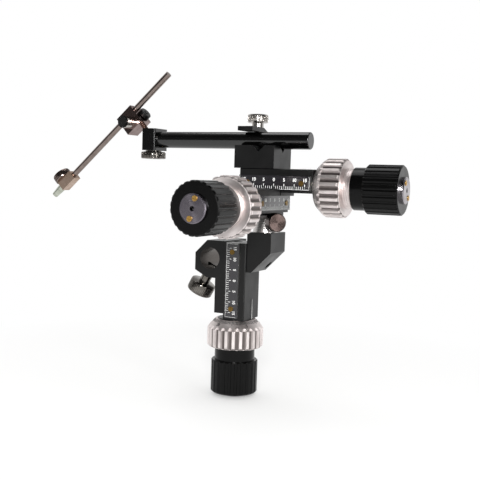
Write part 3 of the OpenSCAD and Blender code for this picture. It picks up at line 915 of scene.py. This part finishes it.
def set_screw(name, place, normal, radius, material, body):
    """A small socket set screw, its face just below the surface's edge."""
    piece = start("cylinder", name, vertices=36, radius=radius, depth=0.2 * MM)
    edit(piece)
    choose("faces", lambda f: f.normal.z > 0.9)
    bpy.ops.mesh.inset(thickness=radius * 0.45, depth=0)
    bpy.ops.mesh.extrude_region_move(TRANSFORM_OT_translate={"value": (0, 0, -0.12 * MM)})

    def outer_rim(e):
        return all(abs(v.co.z - 0.1 * MM) < 1e-7 and v.co.xy.length > radius * 0.9 for v in e.verts)

    choose("edges", outer_rim)
    bpy.ops.mesh.bevel(offset=0.04 * MM, segments=1, affect="EDGES")
    done()
    smooth(piece, 30)
    hint = (0, 0, 1) if abs(Vector(normal).z) < 0.9 else (1, 0, 0)
    put(piece, frame_on(Vector(place), normal, hint))
    return dress(piece, material, body)


# ---------------------------------------------------------------------------
# Stage
# ---------------------------------------------------------------------------


def make_camera():
    data = bpy.data.cameras.new("camera")
    camera = bpy.data.objects.new("camera", data)
    bpy.context.scene.collection.objects.link(camera)
    data.lens = CAMERA_LENS
    data.sensor_width = 36
    data.clip_start = 0.01
    data.clip_end = 20
    turn = Matrix.Rotation(CAMERA_TURN, 4, "Z")
    dip = Matrix.Rotation(math.pi / 2 - CAMERA_DIP, 4, "X")
    roll = Matrix.Rotation(CAMERA_ROLL, 4, "Z")
    camera.matrix_world = Matrix.Translation(CAMERA_PLACE) @ turn @ dip @ roll
    bpy.context.scene.camera = camera


def make_lamp(name, place, size, power):
    data = bpy.data.lights.new(name, "AREA")
    data.shape = "RECTANGLE"
    data.size, data.size_y = size
    data.energy = power
    lamp = bpy.data.objects.new(name, data)
    bpy.context.scene.collection.objects.link(lamp)
    lamp.location = place
    lamp.rotation_mode = "QUATERNION"
    lamp.rotation_quaternion = (-Vector(place)).to_track_quat("-Z", "Y")


def make_world():
    """A white sweep behind and below, and a dimmer room in front, as in a small photo tent."""
    world = bpy.data.worlds.new("tent")
    bpy.context.scene.world = world
    world.use_nodes = True
    tree = world.node_tree
    tree.nodes.clear()
    way = add(tree, "ShaderNodeTexCoord").outputs["Generated"]
    away = vector(tree, "DOT_PRODUCT", way, BACKDROP_WAY).outputs["Value"]
    level = add(
        tree,
        "ShaderNodeMapRange",
        {"Value": away, "From Min": -0.2, "From Max": 0.35, "To Min": ROOM_LEVEL, "To Max": 1.0},
        interpolation_type="SMOOTHSTEP",
    ).outputs[0]
    height = add(tree, "ShaderNodeSeparateXYZ", {0: way}).outputs["Z"]
    ceiling = add(
        tree,
        "ShaderNodeMapRange",
        {"Value": height, "From Min": 0.25, "From Max": 0.8, "To Min": 1.0, "To Max": CEILING_LEVEL},
        interpolation_type="SMOOTHSTEP",
    ).outputs[0]
    behind = calc(tree, "MULTIPLY", level, ceiling)
    seen = add(tree, "ShaderNodeLightPath")
    strength = add(
        tree,
        "ShaderNodeMix",
        {"Factor": seen.outputs["Is Camera Ray"], "A": behind, "B": 1.0},
        data_type="FLOAT",
    ).outputs[0]
    matt = add(
        tree,
        "ShaderNodeMix",
        {"Factor": seen.outputs["Is Diffuse Ray"], "A": strength, "B": MATT_LEVEL},
        data_type="FLOAT",
    ).outputs[0]
    sky = add(tree, "ShaderNodeBackground", {"Color": (1, 1, 1, 1), "Strength": matt})
    add(tree, "ShaderNodeOutputWorld", {"Surface": sky.outputs[0]})


def make_stage():
    floor = start("plane", "floor", size=FLOOR_SIZE, location=(0, 0, FLOOR_HEIGHT))
    apply_place(floor)
    floor.data.materials.append(pale_floor())
    for lamp in LAMPS:
        make_lamp(*lamp)
    bpy.context.scene.view_settings.view_transform = "Standard"


# ---------------------------------------------------------------------------
# The object
# ---------------------------------------------------------------------------


def paint(material, *names):
    """Gives these construction pieces a finish."""
    for name in names:
        piece = frame["nodes"][name]
        piece.data.materials.clear()
        piece.data.materials.append(material)


def smooth_nodes():
    """Round faces of the construction pieces are shaded smooth, and their edges stay crisp."""
    for piece in frame["nodes"].values():
        smooth(piece, 20)


def dress_unit(unit, black, grip_black, brass, gold, ink):
    out = UNITS[unit]["out"]
    centre = unit_frame(unit).translation
    satin = turned_metal(
        unit + "_satin_turned_aluminium", "#e8e0de", "#d0c7c5", 0.38, centre, out, strength=0.25, streak=0.4
    )
    ring = size_of(unit + "_fine_ring")
    ring_long = abs(ring.dot(out))
    ring_radius = abs(ring.dot(UNITS[unit]["load"])) / 2
    ring_metal = turned_metal(
        unit + "_fluted_ring_aluminium",
        "#ece4e2",
        "#d6cdcb",
        0.42,
        centre,
        out,
        strength=0.25,
        streak=0.4,
        flutes=(ring_radius, FLUTE_START, ring_long - FLUTE_STOP),
    )
    steel = turned_metal(unit + "_ground_steel", "#b9b6b2", "#a19d99", 0.25, centre, out)
    spring = plain_metal(unit + "_spring_steel", "#6b6b6c", "#58585a", 0.4)
    paint(black, unit + "_housing", unit + "_flange")
    paint(grip_black, unit + "_coarse_knob")
    paint(scale_plate_finish(unit + "_scale_plate_black", UNITS[unit]["plate"]), unit + "_scale_plate")
    paint(brass, unit + "_scale_screws")
    paint(gold, unit + "_cap_screws")
    paint(ring_metal, unit + "_fine_ring")
    paint(satin, unit + "_sleeve")
    disc = unit + "_turned_end_disc"
    # the disc colours carry painted light: the x disc is painted lighter than the others
    disc_metal = turned_metal(disc, *DISC_TONES_AS_LIT[unit], 0.22, centre, out, strength=0.4, streak=0.85)
    paint(disc_metal, unit + "_knob_cap")
    paint(steel, unit + "_lead_screw")
    paint(spring, unit + "_retaining_ring")
    # the enamel's tone per unit is painted light and shade, not a different enamel
    white = engraving_enamel(unit + "_white_engraving_enamel", MARK_TONES_AS_LIT[unit])
    scale_marks(unit, white)
    index_line(unit, white)
    dial_marks(unit, ink)
    threaded_sleeve(unit, satin)


def dress_arm(black, steel):
    paint(plain_metal("dark_plated_rod", "#8f837d", "#7b6f6a", 0.14), "holder_rod")
    paint(plain_metal("warm_plated_pin", "#a58d80", "#8d766b", 0.16), "ball_stud")
    paint(plain_metal("bronzed_cross_block", "#8d7a76", "#776562", 0.17), "cross_block")
    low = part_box("rod_lock_screw")[0]
    paint(
        plain_metal(
            "screw_with_black_end",
            "#c9c5c0",
            "#aaa6a1",
            0.16,
            black_from=((0, low[1] + 1.02 * MM, 0), (0, -1, 0)),
        ),
        "rod_lock_screw",
    )
    paint(black, "v_block", "clamp_jaw", "pin_lock_knob")
    paint(
        black_anodised_aluminium("glossy_black_enamel", "#040404", "#5f6260", gloss=0.13, shine=0.75),
        "end_block",
        "arm_rod",
    )
    paint(steel, "ball_seat", "tip_screw", "jaw_thumbscrew", "ball_lock_disc", "stand_thumbscrew")
    paint(plain_metal("sand_coloured_tip_block", "#c0aa9b", "#a8917f", 0.3), "tip_block")
    paint(plain_metal("pale_turned_nose", "#c3c7bb", "#aeb2a5", 0.32), "tip_nose")


def dress_swivel():
    paint(
        turned_metal("swivel_aluminium", "#c9c6c4", "#aeaaa8", 0.26, centre_of("swivel_socket"), (0, 0, 1)),
        "swivel_socket",
        "swivel_spigot",
    )
    way = Vector((math.cos(SWIVEL_SCREW_TURN), -math.sin(SWIVEL_SCREW_TURN), 0))
    paint(
        turned_metal(
            "warm_turned_screw", "#584c49", "#403633", 0.2, centre_of("swivel_lock_screw"), way, streak=0.9
        ),
        "swivel_lock_screw",
    )


def small_screws(steel):
    low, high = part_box("end_block")
    set_screw(
        "end_block_set_screw",
        (high[0] + 0.02 * MM, low[1] + END_SCREW_IN, high[2] - END_SCREW_DOWN),
        (1, 0, 0),
        END_SCREW_R,
        steel,
        "end",
    )
    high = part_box("x_flange")[1]
    set_screw(
        "x_flange_set_screw",
        (high[0] - X_SCREW_IN, centre_of("x_housing").y - X_SCREW_FRONT, X_SCREW_HIGH),
        (0, -1, 0),
        X_SCREW_R,
        steel,
        "x_slide",
    )


def dress_object():
    black = black_anodised_aluminium("black_anodised_aluminium")
    grip_black = black_anodised_aluminium("turned_grip_black", "#040404", "#7b7e7c", gloss=0.2, shine=0.16)
    bored_black = black_anodised_aluminium("bored_black_aluminium", bore=STAND_BORE_R)
    brass = plain_metal("dull_brass", "#8a6f3c", "#6d5730", 0.34)
    gold = plain_metal("bright_turned_brass", "#dcb468", "#c0964c", 0.26)
    steel = plain_metal("nickel_plated_steel", "#84807b", "#68645f", 0.14)
    bright_steel = plain_metal("bright_nickel_plated_steel", "#c2beba", "#a5a19c", 0.2)
    tip_steel = plain_metal("stained_tip_screw", "#8b7d77", "#6f635e", 0.22)
    dark_steel = plain_metal("blackened_screw_steel", "#3a3a3b", "#2c2c2d", 0.4)
    ink = engraving_enamel("black_engraving_enamel", "#151515")
    smooth_nodes()
    for unit in UNITS:
        dress_unit(unit, black, grip_black, brass, gold, ink)
    paint(black, "bracket", "y_guide", "x_guide")
    paint(bored_black, "stand_clamp")
    paint(dark_steel, "bracket_screw")
    dress_swivel()
    dress_arm(black, steel)
    stand_thumbscrew(steel)
    jaw_thumbscrew(bright_steel)
    lock_disc(steel)
    tip_screw(tip_steel)
    small_screws(steel)


make_camera()
make_world()
make_stage()
dress_object()
